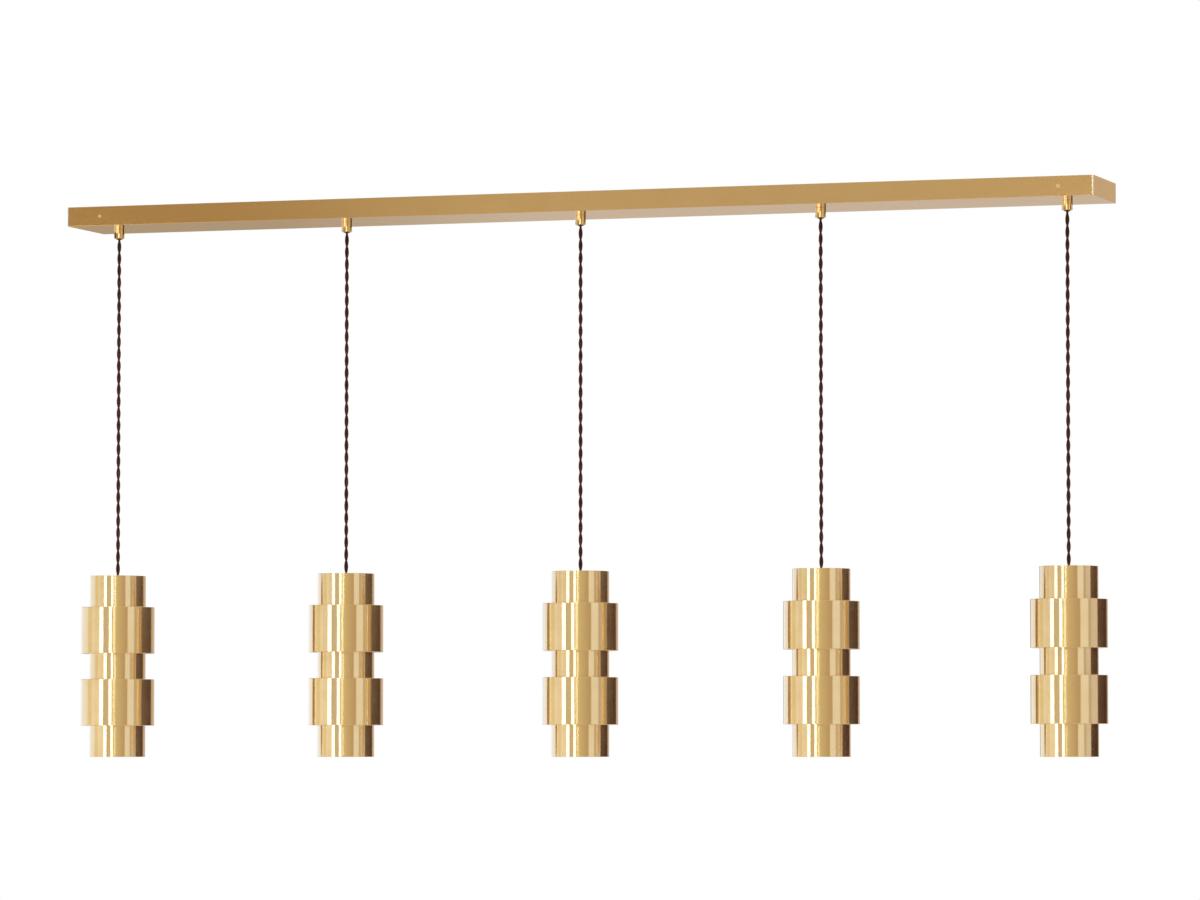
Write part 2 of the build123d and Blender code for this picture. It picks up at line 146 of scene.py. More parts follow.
@cache
def material_of(finish: Finish) -> Material:
    """Makes a finish's material the first time it is asked for.

    Args:
        finish: The finish.

    Returns:
        Its one material.
    """
    material = bpy.data.materials.new(finish.name)
    material.use_nodes = True
    finish.dress(material.node_tree, material.node_tree.nodes["Principled BSDF"])
    return material


@dataclass(frozen=True)
class SatinBrass(Finish):
    """Yellow brass under clear lacquer: a pale gold mirror whose gloss smears across its fine lines."""

    colour: str = "#E9D0A2"
    deep_colour: str = "#DFC390"
    grain: Grain = Grain.TURNED
    roughness: float = 0.17
    smear: float = 0.88
    line_mm: float = 0.35  # real lathe lines are nearer 0.1 mm; drawn coarser so that a close view shows them
    line_depth_mm: float = 0.0007
    dull_patch_mm: float = 26.0
    wobble_mm: float = 0.02  # how far a rolled tube is out of true, over the next line's width
    wobble_width_mm: float = 60.0
    streak_mm: float = 60.0  # how long one brushed line is
    lacquer: float = 0.12  # how much the thin clear coat shows
    lacquer_roughness: float = 0.12
    fold_highlight_colour: str = "#FFF2DC"  # a painted highlight on a fold's faces, pale and bright

    def dress(self, tree: NodeTree, shader: Node) -> None:
        """Builds the brass.

        Args:
            tree: The material's tree.
            shader: Its shader.
        """
        node = partial(add_node, tree)
        place = node("TexCoord").outputs
        patches = node(
            "TexNoise",
            {"Vector": place["Object"], "Scale": 1 / (self.dull_patch_mm * MM), "Detail": 4.0,
             "Roughness": 0.6},
        )
        tint = node(
            "Mix", {0: patches, 6: linear(self.colour), 7: linear(self.deep_colour)}, data_type="RGBA"
        )
        # Painted highlight: the faces of a fold, marked in the mesh, take a pale bright colour in place of
        # the brass's own.
        fold_highlight = node("Attribute", attribute_name="fold")
        shown = node(
            "Mix", {0: fold_highlight.outputs["Fac"], 6: tint.outputs[2], 7: linear(self.fold_highlight_colour)},
            data_type="RGBA",
        )
        gloss = node(
            "MapRange",
            {"Value": patches, "From Min": 0.3, "From Max": 0.7, "To Min": self.roughness * 0.93,
             "To Max": self.roughness * 1.08},
        )
        height = node(
            "TexNoise", {"Vector": place["Object"], "Scale": 1 / (self.wobble_width_mm * MM), "Detail": 0.0}
        )
        bump = node("Bump", {"Height": height, "Distance": self.wobble_mm * MM})
        if self.grain in (Grain.TURNED, Grain.BRUSHED_ALONG):
            along = 0.0 if self.grain is Grain.TURNED else 1 / (self.streak_mm * MM)
            spread = node("Mapping", {"Vector": place["UV"], "Scale": (along, 1 / (self.line_mm * MM), 0.0)})
            lines = node("TexNoise", {"Vector": spread, "Scale": 1.0, "Detail": 3.0, "Roughness": 0.65})
            bump = node("Bump", {"Height": lines, "Distance": self.line_depth_mm * MM, "Normal": bump})
            worn = node("Math", {0: lines, 1: 0.05, 2: -0.025}, operation="MULTIPLY_ADD")
            gloss = node("Math", {0: gloss, 1: worn}, operation="ADD")
        if self.grain is not Grain.NONE:
            way = "RADIAL" if self.grain is Grain.TURNED_ABOUT_MIDDLE else "UV_MAP"
            lay = node("Tangent", direction_type=way, axis="Z")
            feed(shader, {"Anisotropic": self.smear, "Anisotropic Rotation": ACROSS_LINES, "Tangent": lay})
        feed(
            shader,
            {"Metallic": 1.0, "Coat Weight": self.lacquer, "Coat Roughness": self.lacquer_roughness,
             "Base Color": shown.outputs[2], "Roughness": gloss, "Normal": bump},
        )


@dataclass(frozen=True)
class ZincPlate(Finish):
    """Bright zinc plate on pressed steel: a cool grey, half-gloss metal with a faint spangle."""

    colour: str = "#C8CBCE"
    shadow_colour: str = "#BABDBF"
    roughness: float = 0.3
    spangle_mm: float = 4.0
    rolling_mm: float = 0.8  # the steel's own rolled texture
    skin_mm: float = 0.01

    def dress(self, tree: NodeTree, shader: Node) -> None:
        """Builds the zinc.

        Args:
            tree: The material's tree.
            shader: Its shader.
        """
        node = partial(add_node, tree)
        place = node("TexCoord").outputs
        spangle = node("TexVoronoi", {"Vector": place["Object"], "Scale": 1 / (self.spangle_mm * MM)})
        tone = node("SeparateColor", {"Color": spangle.outputs["Color"]})
        tint = node("Mix", {0: tone, 6: linear(self.colour), 7: linear(self.shadow_colour)}, data_type="RGBA")
        gloss = node(
            "MapRange",
            {"Value": tone.outputs[1], "To Min": self.roughness * 0.85, "To Max": self.roughness * 1.2},
        )
        scale = node(
            "TexNoise", {"Vector": place["Object"], "Scale": 1 / (self.rolling_mm * MM), "Detail": 3.0}
        )
        bump = node("Bump", {"Height": scale, "Distance": self.skin_mm * MM})
        feed(shader, {"Metallic": 1.0, "Base Color": tint.outputs[2], "Roughness": gloss, "Normal": bump})


@dataclass(frozen=True)
class BraidedRayon(Finish):
    """Brown rayon braided over a lamp flex's core: small crossing threads with a silky edge, and painted
    shade in the gaps between them.
    """

    thread_colour: str = "#573229"
    # painted shade, for the gaps between the threads
    gap_shade_colour: str = "#321A15"
    worn_colour: str = "#6B4439"
    sheen_colour: str = "#B98A78"
    wear_mm: float = 9.0  # how wide the patches are where the braid has paled
    thread_mm: float = 0.18  # how far a thread stands up
    fibres: float = 9.0  # fibres that show across one thread
    carriers: float = 8.0  # threads each way round one core
    pick_mm: float = 1.5  # a real pick is about 0.9 mm; drawn coarser so that it shows

    def dress(self, tree: NodeTree, shader: Node) -> None:
        """Builds the braid.

        Args:
            tree: The material's tree.
            shader: Its shader.
        """
        node = partial(add_node, tree)
        place = node("TexCoord").outputs
        across = node("SeparateXYZ", {"Vector": place["UV"]})
        around = node("Math", {0: across.outputs["X"], 1: self.carriers}, operation="MULTIPLY")
        along = node("Math", {0: across.outputs["Y"], 1: 1 / (self.pick_mm * MM)}, operation="MULTIPLY")
        waves, steps = [], []
        for way in ("ADD", "SUBTRACT"):
            thread = node("Math", {0: around, 1: along}, operation=way)
            part = node("Math", {0: thread}, operation="FRACT")
            turn = node("Math", {0: part, 1: math.pi}, operation="MULTIPLY")
            waves.append(node("Math", {0: turn}, operation="SINE"))
            steps.append(node("Math", {0: thread}, operation="FLOOR"))
        pillow = node("Math", {0: waves[0], 1: waves[1]}, operation="MULTIPLY")
        crossing = node("Math", {0: steps[0], 1: steps[1]}, operation="ADD")
        over = node("Math", {0: crossing, 1: 2.0}, operation="FLOORED_MODULO")
        ends = node("Mix", {0: over, 2: waves[0], 3: waves[1]}, data_type="FLOAT")
        fibre = node("Math", {0: ends, 1: self.fibres}, operation="MULTIPLY")
        rib = node("Math", {0: fibre}, operation="SINE")
        relief = node("Math", {0: rib, 1: 0.12, 2: pillow}, operation="MULTIPLY_ADD")
        fuzz = node("TexNoise", {"Vector": place["Object"], "Scale": 1 / (self.wear_mm * MM), "Detail": 5.0})
        wear = node("MapRange", {"Value": fuzz, "From Min": 0.5, "From Max": 0.75, "To Max": 0.6})
        thread_tone = node(
            "Mix", {0: wear, 6: linear(self.thread_colour), 7: linear(self.worn_colour)}, data_type="RGBA"
        )
        # Painted shade: where the relief is low, between the threads, the colour turns to the dark gap shade.
        shown = node("MapRange", {"Value": relief, "From Min": 0.05, "From Max": 0.6})
        tint = node(
            "Mix", {0: shown, 6: linear(self.gap_shade_colour), 7: thread_tone.outputs[2]}, data_type="RGBA"
        )
        bump = node("Bump", {"Height": relief, "Distance": self.thread_mm * MM})
        feed(
            shader,
            {"Base Color": tint.outputs[2], "Roughness": 0.85, "Specular IOR Level": 0.15, "Normal": bump,
             "Sheen Weight": 0.03, "Sheen Roughness": 0.4, "Sheen Tint": linear(self.sheen_colour)},
        )


@dataclass(frozen=True)
class MouldedPlastic(Finish):
    """Moulded nylon: one colour right through, a soft spark-eroded texture and a waxy half gloss."""

    colour: str
    worn_colour: str
    roughness: float = 0.45
    texture_mm: float = 0.4
    relief_mm: float = 0.012
    flow_mm: float = 14.0  # how wide the patches are that the melt's flow leaves

    def dress(self, tree: NodeTree, shader: Node) -> None:
        """Builds the plastic.

        Args:
            tree: The material's tree.
            shader: Its shader.
        """
        node = partial(add_node, tree)
        place = node("TexCoord").outputs
        flow = node("TexNoise", {"Vector": place["Object"], "Scale": 1 / (self.flow_mm * MM), "Detail": 3.0})
        tint = node("Mix", {0: flow, 6: linear(self.colour), 7: linear(self.worn_colour)}, data_type="RGBA")
        texture = node(
            "TexNoise", {"Vector": place["Object"], "Scale": 1 / (self.texture_mm * MM), "Detail": 2.0}
        )
        gloss = node(
            "MapRange", {"Value": texture, "To Min": self.roughness * 0.9, "To Max": self.roughness * 1.15}
        )
        bump = node("Bump", {"Height": texture, "Distance": self.relief_mm * MM})
        feed(shader, {"Base Color": tint.outputs[2], "Roughness": gloss, "Normal": bump, "IOR": NYLON_IOR})


@dataclass(frozen=True)
class GlazedPorcelain(Finish):
    """Electrical porcelain: warm white and glossy, with a slightly wavy clear glaze and a few specks."""

    colour: str = "#EAE5DA"
    thin_colour: str = "#D9D1C2"
    speck_colour: str = "#A89A86"
    pool_mm: float = 8.0  # how wide the glaze's pools are
    wave_mm: float = 0.06
    speck_mm: float = 2.2  # from one speck to the next
    roughness: float = 0.16

    def dress(self, tree: NodeTree, shader: Node) -> None:
        """Builds the porcelain.

        Args:
            tree: The material's tree.
            shader: Its shader.
        """
        node = partial(add_node, tree)
        place = node("TexCoord").outputs
        pool = node("TexNoise", {"Vector": place["Object"], "Scale": 1 / (self.pool_mm * MM), "Detail": 2.0})
        body = node("Mix", {0: pool, 6: linear(self.colour), 7: linear(self.thin_colour)}, data_type="RGBA")
        speck = node("TexVoronoi", {"Vector": place["Object"], "Scale": 1 / (self.speck_mm * MM)})
        dot = node(
            "MapRange", {"Value": speck, "From Min": 0.05, "From Max": 0.09, "To Min": 0.5, "To Max": 0.0}
        )
        tint = node("Mix", {0: dot, 6: body.outputs[2], 7: linear(self.speck_colour)}, data_type="RGBA")
        bump = node("Bump", {"Height": pool, "Distance": self.wave_mm * MM})
        feed(
            shader,
            {"Base Color": tint.outputs[2], "Roughness": self.roughness, "Normal": bump, "Coat Weight": 0.5,
             "Coat Roughness": 0.05},
        )


@dataclass(frozen=True)
class FrostedLens(Finish):
    """Frosted polycarbonate lens: milky, with a soft gloss and a faint prismatic grain."""

    colour: str = "#F1F2EE"
    edge_colour: str = "#DCE2E2"
    roughness: float = 0.28
    grain_mm: float = 0.3
    relief_mm: float = 0.01

    def dress(self, tree: NodeTree, shader: Node) -> None:
        """Builds the lens.

        Args:
            tree: The material's tree.
            shader: Its shader.
        """
        node = partial(add_node, tree)
        place = node("TexCoord").outputs
        facing = node("LayerWeight", {"Blend": 0.35})
        tint = node(
            "Mix", {0: facing.outputs["Facing"], 6: linear(self.colour), 7: linear(self.edge_colour)},
            data_type="RGBA",
        )
        grain = node(
            "TexNoise", {"Vector": place["Object"], "Scale": 1 / (self.grain_mm * MM), "Detail": 2.0}
        )
        bump = node("Bump", {"Height": grain, "Distance": self.relief_mm * MM})
        feed(
            shader,
            {"Base Color": tint.outputs[2], "Roughness": self.roughness, "Normal": bump,
             "IOR": POLYCARBONATE_IOR, "Transmission Weight": 0.15},
        )


TURNED_BRASS = SatinBrass("turned_satin_brass")
GLAND_BRASS = SatinBrass(
    "turned_gland_brass", colour="#E4C78E", deep_colour="#D8B678", roughness=0.08, smear=0.3, line_mm=0.25,
    wobble_mm=0.002,
)
SPUN_BRASS = SatinBrass("spun_brass_disc", grain=Grain.TURNED_ABOUT_MIDDLE, roughness=0.22, wobble_mm=0.005)
MACHINED_BRASS = SatinBrass(
    "machined_brass", colour="#E0BC7C", deep_colour="#D0A868", grain=Grain.NONE, roughness=0.3,
    wobble_mm=0.001,
)
SHEET_BRASS = SatinBrass(
    "brushed_sheet_brass", colour="#DDB26E", deep_colour="#D2A560", grain=Grain.BRUSHED_ALONG, roughness=0.15,
    smear=0.4, line_mm=0.5, line_depth_mm=0.001, dull_patch_mm=55.0, wobble_mm=0.01,
)
ZINC = ZincPlate("zinc_plated_steel")
BRAID = BraidedRayon("brown_rayon_braid")
BROWN_NYLON = MouldedPlastic("brown_moulded_nylon", "#3B2820", "#2D1D17")
WHITE_NYLON = MouldedPlastic("white_moulded_nylon", "#EFEDE6", "#E2DFD6")
LAMP_PLASTIC = MouldedPlastic("white_lamp_plastic", "#F2F1ED", "#E8E7E1", roughness=0.3, texture_mm=0.6)
PORCELAIN = GlazedPorcelain("glazed_porcelain")
LENS = FrostedLens("frosted_lens")


# ---- Pieces on the frame


def add_object(name: str, data: ID) -> Object:
    """Adds a mesh, light or camera to the scene."""
    thing = bpy.data.objects.new(name, data)
    bpy.context.scene.collection.objects.link(thing)
    return thing


def seat(
    name: str, mesh: Mesh, body: str, finish: Finish, stands_for: Sequence[str] = ()
) -> Object:
    """Puts a finished mesh on the model.

    Args:
        name: The piece's name.
        mesh: Its mesh, in place.
        body: The body it rides on.
        finish: What it is made of.
        stands_for: The CAD nodes that it stands for.

    Returns:
        The piece.
    """
    mesh.name = name
    if not mesh.materials:
        mesh.materials.append(material_of(finish))
    piece = add_object(name, mesh)
    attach(piece, body)
    if stands_for:
        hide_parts(*stands_for)
    log.info("%s: %d faces, on %s", name, len(mesh.polygons), body)
    return piece


def refinish(node: str, finish: Finish) -> None:
    """Gives a CAD node whose shape is right its real finish.

    Args:
        node: The node's name.
        finish: What it is made of.
    """
    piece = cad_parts[node]
    for place in piece.material_slots:
        place.material = material_of(finish)
    log.info("%s: kept from CAD, in %s", node, finish.name)


def flat_faced(mesh: Mesh, fold_deg: float = 40.0) -> None:
    """Shades a sheet-metal mesh so that its large faces are true and only its folds are rounded.

    Args:
        mesh: The mesh.
        fold_deg: The most that two faces of one fold turn from each other.
    """
    mesh.shade_smooth()
    faces = mesh.polygons
    around: dict[int, list[MeshPolygon]] = {}
    for face in faces:
        for point in face.vertices:
            around.setdefault(point, []).append(face)
    limit = math.cos(math.radians(fold_deg))
    outs = []
    for face in faces:
        for point in face.vertices:
            out = Vector()
            for other in around[point]:
                if other.normal.dot(face.normal) > limit:
                    out += other.normal * other.area
            outs.append(out.normalized())
    mesh.normals_split_custom_set(outs)


@dataclass(frozen=True)
class Corner:
    """A corner of a turned profile, in mm, and how far it is eased."""

    r: float
    z: float
    ease: float = 0.0
    easing: Easing = Easing.ROUND


@dataclass(frozen=True)
class Stretch:
    """A short stretch of a turned profile: its ends and the outward directions there, as (radius, height)."""

    start: tuple[float, float]
    end: tuple[float, float]
    start_out: tuple[float, float]
    end_out: tuple[float, float]


@dataclass(frozen=True)
class Lathe:
    """Turns a closed profile about an upright axis, as the real piece is turned."""

    corners: tuple[Corner, ...]
    around: int = 160
    steps: int = 4

    def stretches(self) -> list[Stretch]:
        """Works out the profile's stretches, with eased corners and outward directions for smooth shading."""
        points = [np.array((c.r, c.z)) * MM for c in self.corners]
        count = len(points)
        area = sum(points[i - 1][0] * points[i][1] - points[i][0] * points[i - 1][1] for i in range(count))
        side = 1.0 if area > 0 else -1.0
        found: list[Stretch] = []
        ends: list[tuple[np.ndarray, np.ndarray, list[Stretch]]] = []
        for i, corner in enumerate(self.corners):
            here, back, ahead = points[i], points[i - 1], points[(i + 1) % count]
            into = (here - back) / np.linalg.norm(here - back)
            out = (ahead - here) / np.linalg.norm(ahead - here)
            normals = [side * np.array((d[1], -d[0])) for d in (into, out)]
            cut = corner.ease * MM
            first, last = here - into * cut, here + out * cut
            pieces = 0 if cut == 0 else (1 if corner.easing is Easing.CHAMFER else self.steps)
            shares = np.linspace(0, 1, pieces + 1)
            bend = [first * (1 - t) ** 2 + here * 2 * t * (1 - t) + last * t**2 for t in shares]
            rounds: list[Stretch] = []
            for j in range(pieces):
                if corner.easing is Easing.CHAMFER:
                    flat = sum(normals) / np.linalg.norm(sum(normals))
                    outs = (flat, flat)
                else:
                    mixed = [normals[0] * (1 - t) + normals[1] * t for t in (j / pieces, (j + 1) / pieces)]
                    outs = tuple(m / np.linalg.norm(m) for m in mixed)
                rounds.append(Stretch(tuple(bend[j]), tuple(bend[j + 1]), tuple(outs[0]), tuple(outs[1])))
            ends.append((first, last, rounds))
        for i in range(count):
            first, last, rounds = ends[i]
            found += rounds
            onward = ends[(i + 1) % count][0]
            run = onward - last
            if last[0] < ON_AXIS and onward[0] < ON_AXIS or np.linalg.norm(run) < ON_AXIS:
                continue
            out = side * np.array((run[1], -run[0])) / np.linalg.norm(run)
            found.append(Stretch(tuple(last), tuple(onward), tuple(out), tuple(out)))
        return found

    def mesh(self, name: str, axes: Sequence[float]) -> Mesh:
        """Turns the profile about one or more upright axes, into one mesh with a UV map and true normals.

        Args:
            name: The mesh's name.
            axes: Where along X each axis stands.

        Returns:
            The mesh. U goes once round, and V is the distance along the profile in metres.
        """
        points: list[tuple[float, float, float]] = []
        faces: list[tuple[int, ...]] = []
        normals: list[tuple[float, float, float]] = []
        uvs: list[tuple[float, float]] = []
        angles = [math.tau * i / self.around for i in range(self.around + 1)]
        turn = [(math.cos(angle), math.sin(angle)) for angle in angles]
        for axis in axes:
            rings: dict[tuple[float, float], list[int]] = {}

            def ring(at: tuple[float, float]) -> list[int]:
                """Finds or makes the ring of points at a radius and height."""
                key = (round(at[0], 8), round(at[1], 8))
                if key not in rings:
                    base = len(points)
                    if at[0] < ON_AXIS:
                        points.append((axis, 0.0, at[1]))
                        rings[key] = [base] * (self.around + 1)
                    else:
                        points.extend((axis + at[0] * c, at[0] * s, at[1]) for c, s in turn[:-1])
                        rings[key] = [*range(base, base + self.around), base]
                return rings[key]

            along = 0.0
            for stretch in self.stretches():
                low, high = ring(stretch.start), ring(stretch.end)
                onward = along + math.dist(stretch.start, stretch.end)
                run = (stretch.end[0] - stretch.start[0], stretch.end[1] - stretch.start[1])
                # From one ring to the next, the face looks out when the outward direction is on its right.
                outward = run[1] * stretch.start_out[0] - run[0] * stretch.start_out[1] > 0
                for i in range(self.around):
                    loop = [
                        (low, i, stretch.start_out, along), (low, i + 1, stretch.start_out, along),
                        (high, i + 1, stretch.end_out, onward), (high, i, stretch.end_out, onward),
                    ]
                    if low[0] == low[1]:
                        loop = [loop[0], loop[2], loop[3]]
                    elif high[0] == high[1]:
                        loop = loop[:3]
                    if not outward:
                        loop.reverse()
                    faces.append(tuple(r[k] for r, k, _, _ in loop))
                    normals.extend((n[0] * turn[k][0], n[0] * turn[k][1], n[1]) for _, k, n, _ in loop)
                    uvs.extend((k / self.around, v) for _, k, _, v in loop)
                along = onward
        mesh = bpy.data.meshes.new(name)
        mesh.from_pydata(points, [], faces)
        layer = mesh.uv_layers.new(name="UVMap")
        layer.data.foreach_set("uv", np.array(uvs, np.float32).ravel())
        mesh.shade_smooth()
        mesh.normals_split_custom_set(normals)
        mesh.update()
        return mesh


def empty_tree(
    name: str, sizes: Sequence[str], counts: Sequence[str] = ()
) -> tuple[Callable[..., Node], Mapping[str, NodeSocket], Callable[..., NodeTree]]:
    """Starts a Geometry Nodes tree with a start shape, named sizes and a finish.

    Args:
        name: The tree's name.
        sizes: The names of its lengths and other sizes.
        counts: The names of its whole numbers.

    Returns:
        A function that adds a node, the tree's inputs, and a function that ends the tree and returns it.
    """
    tree = bpy.data.node_groups.new(name, "GeometryNodeTree")
    kinds = {
        "Start": "Geometry", **dict.fromkeys(sizes, "Float"), **dict.fromkeys(counts, "Int"),
        "Finish": "Material",
    }
    for size, kind in kinds.items():
        tree.interface.new_socket(size, in_out="INPUT", socket_type=f"NodeSocket{kind}")
    tree.interface.new_socket("Shape", in_out="OUTPUT", socket_type="NodeSocketGeometry")
    node = partial(add_node, tree)
    given = node("NodeGroupInput").outputs

    def end(shape: Node) -> NodeTree:
        """Ends the tree in plain, smooth, finished geometry."""
        plain = node("GeometryNodeRealizeInstances", {"Geometry": shape})
        smooth = node("GeometryNodeSetShadeSmooth", {"Geometry": plain})
        dressed = node("GeometryNodeSetMaterial", {"Geometry": smooth, "Material": given["Finish"]})
        node("NodeGroupOutput", {"Shape": dressed})
        return tree

    return node, given, end


def grow(name: str, tree: NodeTree, start: Mesh, finish: Finish, sizes: Mapping[str, float | int]) -> Mesh:
    """Runs a Geometry Nodes tree once and keeps its plain mesh.

    Args:
        name: The new mesh's name.
        tree: The tree.
        start: The mesh that it starts from.
        finish: What the result is made of.
        sizes: A value for each of the tree's named inputs.

    Returns:
        The mesh that the tree makes.
    """
    holder = add_object(f"{name}_start", start)
    modifier = holder.modifiers.new("grow", "NODES")
    modifier.node_group = tree
    values: dict[str, object] = {**sizes, "Finish": material_of(finish)}
    for socket in tree.interface.items_tree:
        if socket.item_type == "SOCKET" and socket.in_out == "INPUT" and socket.name in values:
            modifier[socket.identifier] = values[socket.name]
    graph = bpy.context.evaluated_depsgraph_get()
    mesh = bpy.data.meshes.new_from_object(holder.evaluated_get(graph), depsgraph=graph)
    holder.modifiers.remove(modifier)
    bpy.data.objects.remove(holder)
    bpy.data.meshes.remove(start)
    mesh.name = name
    return mesh


# ---- Flexes


@cache
def strands_tree() -> NodeTree:
    """Builds the tree that twists two braided cores round a route."""
    node, given, end = empty_tree("twisted_cores", ("Core radius", "Lay", "Phase", "Step"), ("Sides",))
    route = node("GeometryNodeMeshToCurve", {"Mesh": given["Start"]})
    even = node("GeometryNodeResampleCurve", {"Curve": route, "Length": given["Step"]}, mode="LENGTH")
    pair = node("GeometryNodeDuplicateElements", {"Geometry": even, "Amount": 2}, domain="SPLINE")
    at = node("GeometryNodeSplineParameter")
    kept = node(
        "GeometryNodeStoreNamedAttribute", {"Geometry": pair, "Name": "along", "Value": at.outputs["Length"]},
        data_type="FLOAT", domain="POINT",
    )
    turns = node("Math", {0: at.outputs["Length"], 1: given["Lay"]}, operation="DIVIDE")
    angle = node("Math", {0: turns, 1: math.tau, 2: given["Phase"]}, operation="MULTIPLY_ADD")
    opposite = node(
        "Math", {0: pair.outputs["Duplicate Index"], 1: math.pi, 2: angle}, operation="MULTIPLY_ADD"
    )
    normal, ahead = node("GeometryNodeInputNormal"), node("GeometryNodeInputTangent")
    side = node("VectorMath", {0: ahead, 1: normal}, operation="CROSS_PRODUCT")
    reach = []
    for wave, way in (("COSINE", normal), ("SINE", side)):
        share = node("Math", {0: opposite}, operation=wave)
        far = node("Math", {0: share, 1: given["Core radius"]}, operation="MULTIPLY")
        reach.append(node("VectorMath", {0: way, "Scale": far}, operation="SCALE"))
    off = node("VectorMath", {0: reach[0], 1: reach[1]}, operation="ADD")
    wound = node("GeometryNodeSetPosition", {"Geometry": kept, "Offset": off})
    circle = node(
        "GeometryNodeCurvePrimitiveCircle", {"Resolution": given["Sides"], "Radius": given["Core radius"]}
    )
    around = node("GeometryNodeSplineParameter")
    section = node(
        "GeometryNodeStoreNamedAttribute",
        {"Geometry": circle, "Name": "around", "Value": around.outputs["Factor"]},
        data_type="FLOAT", domain="POINT",
    )
    tubes = node("GeometryNodeCurveToMesh", {"Curve": wound, "Profile Curve": section, "Fill Caps": True})
    return end(tubes)


@dataclass
class Flex:
    """A length of two-core twisted lamp flex."""

    name: str
    route: tuple[tuple[float, float, float], ...]  # mm
    length: float
    body: str
    stands_for: tuple[str, ...]
    exit: tuple[float, float, float]  # mm
    lay: str = "hanging"
    core_radius: float = 1.35 * MM
    twist: float = 32.6 * MM  # one full turn
    phase: float = 0.0
    smoothness: int = 24
    steps_a_turn: int = 24
    sides: int = 12

    def followed(self) -> Mesh:
        """Draws the route as a smooth spline and reads the points that the cores follow."""
        curve = bpy.data.curves.new(f"{self.name}_route", "CURVE")
        curve.dimensions = "3D"
        curve.resolution_u = self.smoothness
        spline = curve.splines.new("NURBS")
        spline.points.add(len(self.route) - 1)
        for point, place in zip(spline.points, self.route):
            point.co = (*(v * MM for v in place), 1.0)
        spline.order_u = 3
        spline.use_endpoint_u = True
        holder = bpy.data.objects.new(curve.name, curve)
        line = bpy.data.meshes.new_from_object(holder)
        bpy.data.objects.remove(holder)
        bpy.data.curves.remove(curve)
        return line

    def build(self) -> Object:
        """Returns:
            The piece.
        """
        line = self.followed()
        mesh = grow(
            self.name, strands_tree(), line, BRAID,
            {"Core radius": self.core_radius, "Lay": self.twist, "Phase": self.phase,
             "Step": self.twist / self.steps_a_turn, "Sides": self.sides},
        )
        self.map_braid(mesh)
        piece = seat(self.name, mesh, self.body, BRAID, self.stands_for)
        return piece

    def map_braid(self, mesh: Mesh) -> None:
        """Gives each core a UV map, once round and in metres along, closed where it meets itself.

        Args:
            mesh: The cores.
        """
        corners = np.zeros(len(mesh.loops), np.int32)
        mesh.loops.foreach_get("vertex_index", corners)
        values = {}
        for name in ("along", "around"):
            values[name] = np.zeros(len(mesh.vertices), np.float32)
            mesh.attributes[name].data.foreach_get("value", values[name])
        u, v = values["around"][corners], values["along"][corners]
        starts, totals = np.zeros(len(mesh.polygons), np.int32), np.zeros(len(mesh.polygons), np.int32)
        mesh.polygons.foreach_get("loop_start", starts)
        mesh.polygons.foreach_get("loop_total", totals)
        face = np.repeat(np.arange(len(starts)), totals)
        most = np.maximum.reduceat(u, starts)[face]
        crosses = (most - np.minimum.reduceat(u, starts)[face] > 0.5) & (totals[face] == 4)
        u = np.where(crosses & (u < 0.5), u + 1, u)
        layer = mesh.uv_layers.new(name="UVMap")
        layer.data.foreach_set("uv", np.stack([u, v], axis=1).astype(np.float32).ravel())


